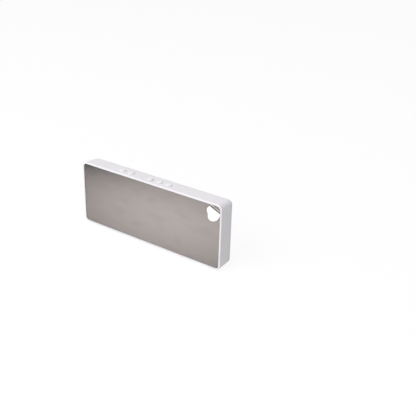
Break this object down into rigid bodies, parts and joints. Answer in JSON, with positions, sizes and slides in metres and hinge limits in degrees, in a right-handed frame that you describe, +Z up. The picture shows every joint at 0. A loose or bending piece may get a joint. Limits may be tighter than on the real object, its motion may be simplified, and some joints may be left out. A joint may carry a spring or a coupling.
{
  "type": "digital led desk clock",
  "caption": "Slim mirror-faced digital desk clock in a drafted white case, with press keys on top, a hinged battery door, a rear power inlet and a pull tab on its face film.",
  "frame": {"origin": "under the middle of the clock, on the surface that it stands on", "axes": "+Z up, the face looks along -Y, +X to the right of someone who faces the clock"},
  "size_m": [0.16, 0.019, 0.0634],
  "materials": {
    "white_plastic": "fine satin moulding",
    "key_plastic": "satin moulding",
    "mirror": "half-silvered, slightly warm",
    "adhesive": "foam tape",
    "clear_film": "clear film",
    "tab_paper": "coated paper",
    "diffuser": "milky sheet",
    "reflector": "white moulding",
    "circuit_board": "green solder mask",
    "led_package": "clear lens on white",
    "black_plastic": "moulded",
    "plunger_plastic": "moulded",
    "plated_steel": "nickel plated",
    "screw_steel": "zinc plated",
    "capacitor_can": "sleeved can",
    "cell_can": "plain sleeved can",
    "red_wire": "insulated wire",
    "black_wire": "insulated wire",
    "foot_rubber": "soft pad"
  },
  "bodies": {
    "case": {"front_case": "white_plastic", "rear_cover": "white_plastic", "mirror_panel": "mirror", "mirror_tape": "adhesive", "protective_film": "clear_film", "segment_diffuser": "diffuser", "led_reflector": "reflector", "main_board": "circuit_board", "power_board": "circuit_board", "segment_leds": "led_package", "controller_chip": "black_plastic", "buzzer": "black_plastic", "tact_switches": "black_plastic", "board_header": "black_plastic", "usb_tongue": "black_plastic", "usb_socket": "plated_steel", "clock_crystal": "plated_steel", "positive_contact": "plated_steel", "negative_contact": "plated_steel", "left_contact_bridge": "plated_steel", "right_contact_bridge": "plated_steel", "case_screws": "screw_steel", "board_screws": "screw_steel", "supply_capacitor": "capacitor_can", "battery_cell_1": "cell_can", "battery_cell_2": "cell_can", "battery_cell_3": "cell_can", "positive_battery_wire": "red_wire", "negative_battery_wire": "black_wire", "left_foot": "foot_rubber", "right_foot": "foot_rubber"},
    "mode_key": {"mode_button": "key_plastic", "mode_switch_plunger": "plunger_plastic"},
    "set_key": {"set_button": "key_plastic", "set_switch_plunger": "plunger_plastic"},
    "up_key": {"up_button": "key_plastic", "up_switch_plunger": "plunger_plastic"},
    "down_key": {"down_button": "key_plastic", "down_switch_plunger": "plunger_plastic"},
    "snooze_key": {"snooze_button": "key_plastic", "snooze_switch_plunger": "plunger_plastic"},
    "door": {"battery_door": "white_plastic"},
    "pull_tab": {"film_pull_tab": "tab_paper", "film_corner_flap": "clear_film"}
  },
  "joints": [
    {"name": "mode_press", "type": "slide", "parent": "case", "child": "mode_key", "axis": [0, 0, -1], "range_m": [0, 0.0005], "stiffness_N_per_m": 800},
    {"name": "set_press", "type": "slide", "parent": "case", "child": "set_key", "axis": [0, 0, -1], "range_m": [0, 0.0005], "stiffness_N_per_m": 800},
    {"name": "up_press", "type": "slide", "parent": "case", "child": "up_key", "axis": [0, 0, -1], "range_m": [0, 0.0005], "stiffness_N_per_m": 800},
    {"name": "down_press", "type": "slide", "parent": "case", "child": "down_key", "axis": [0, 0, -1], "range_m": [0, 0.0005], "stiffness_N_per_m": 800},
    {"name": "snooze_press", "type": "slide", "parent": "case", "child": "snooze_key", "axis": [0, 0, -1], "range_m": [0, 0.0005], "stiffness_N_per_m": 800},
    {"name": "battery_door_hinge", "type": "hinge", "parent": "case", "child": "door", "pos_m": [0, 0.0095, 0.01328], "axis": [-1, 0, 0], "range_deg": [0, 80]},
    {"name": "pull_tab_fold", "type": "hinge", "parent": "case", "child": "pull_tab", "pos_m": [0.0728, -0.00905, 0.0588], "axis": [-0.9226, 0, 0.3858], "range_deg": [0, 110]}
  ]
}
